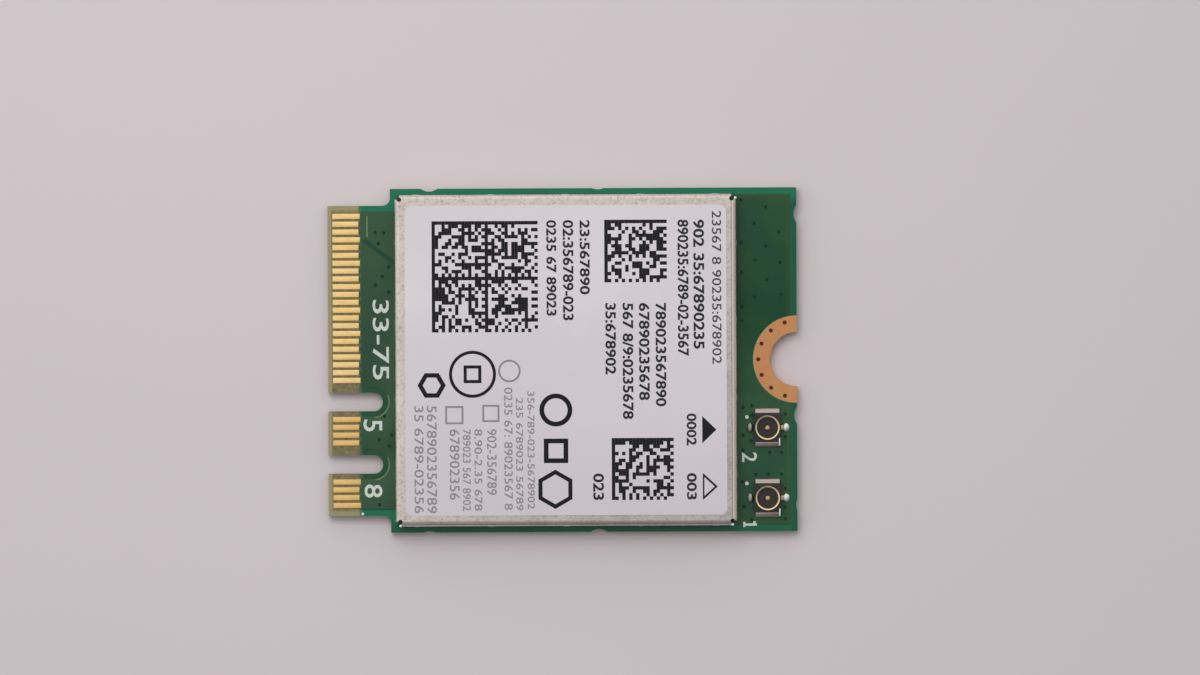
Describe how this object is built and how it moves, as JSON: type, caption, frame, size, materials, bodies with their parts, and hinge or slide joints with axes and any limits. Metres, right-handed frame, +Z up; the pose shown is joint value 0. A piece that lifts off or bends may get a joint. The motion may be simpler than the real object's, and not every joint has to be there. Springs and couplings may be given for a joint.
{
  "type": "wireless network card",
  "caption": "Small edge-connector wireless network card: green circuit board with a keyed gold contact tongue, a labelled shield can, push-on antenna connectors and a screw notch.",
  "frame": {"origin": "under the middle of the card, on the underside of its circuit board", "axes": "+X along the card from the contact tongue to the screw notch, +Y across the card away from the antenna connectors, +Z up through the shield can"},
  "size_m": [0.03, 0.022, 0.0022],
  "materials": {
    "solder_mask": "green solder mask over glass-epoxy laminate",
    "gold_plate": "gold flash over copper",
    "bare_copper": "bare copper with a thin protective film",
    "tinned_steel": "matt tin over a rolled steel sheet",
    "solder": "bright reflowed solder",
    "paper_label": "white printed label film",
    "moulded_base": "dark moulded insulator",
    "epoxy_package": "black moulding compound",
    "ceramic_package": "fired ceramic with tinned ends",
    "ferrite": "dark grey ferrite with tinned ends"
  },
  "bodies": {
    "root": {"circuit_board": "solder_mask", "contacts_top_main": "gold_plate", "contacts_top_middle": "gold_plate", "contacts_top_end": "gold_plate", "contacts_bottom_main": "gold_plate", "contacts_bottom_middle": "gold_plate", "contacts_bottom_end": "gold_plate", "ground_ring_top": "bare_copper", "ground_ring_bottom": "bare_copper", "shield_can": "tinned_steel", "shield_solder": "solder", "label": "paper_label", "radio_chip": "epoxy_package", "memory_chip": "epoxy_package", "power_chip": "epoxy_package", "clock_crystal": "ceramic_package", "supply_capacitors": "ceramic_package", "bypass_capacitors": "ceramic_package", "resistors": "ceramic_package", "antenna_1_shell": "gold_plate", "antenna_1_pin": "gold_plate", "antenna_1_insulator": "moulded_base", "antenna_1_solder": "solder", "front_end_low_1": "epoxy_package", "front_end_high_1": "epoxy_package", "diplexer_1": "ceramic_package", "power_inductor_1": "ferrite", "antenna_2_shell": "gold_plate", "antenna_2_pin": "gold_plate", "antenna_2_insulator": "moulded_base", "antenna_2_solder": "solder", "front_end_low_2": "epoxy_package", "front_end_high_2": "epoxy_package", "diplexer_2": "ceramic_package", "power_inductor_2": "ferrite"}
  },
  "joints": []
}
